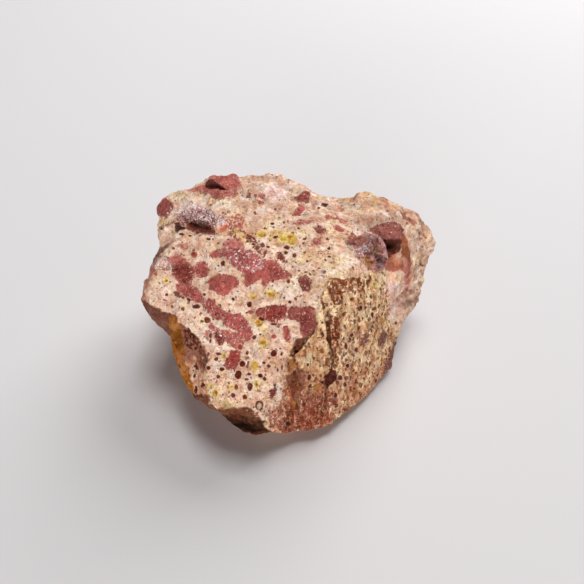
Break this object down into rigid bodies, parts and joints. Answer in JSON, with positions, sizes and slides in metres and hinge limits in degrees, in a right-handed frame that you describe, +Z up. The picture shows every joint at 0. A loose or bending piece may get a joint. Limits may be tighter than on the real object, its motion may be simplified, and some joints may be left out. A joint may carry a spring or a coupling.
{
  "type": "bauxite stone",
  "caption": "Broken lump of pisolitic bauxite, cream and pink with brick-red clasts, that rests on its flat underside.",
  "frame": {"origin": "middle of the stone's box, seen from above, at the height of the flat underside", "axes": "+X to the right of someone who faces the broken front, +Y leads away from them, +Z up"},
  "size_m": [0.0788, 0.0636, 0.0463],
  "materials": {
    "bauxite": "rough broken stone, cream and pink, with smoother brick-red clasts"
  },
  "bodies": {
    "root": {"bauxite_stone": "bauxite"}
  },
  "joints": []
}
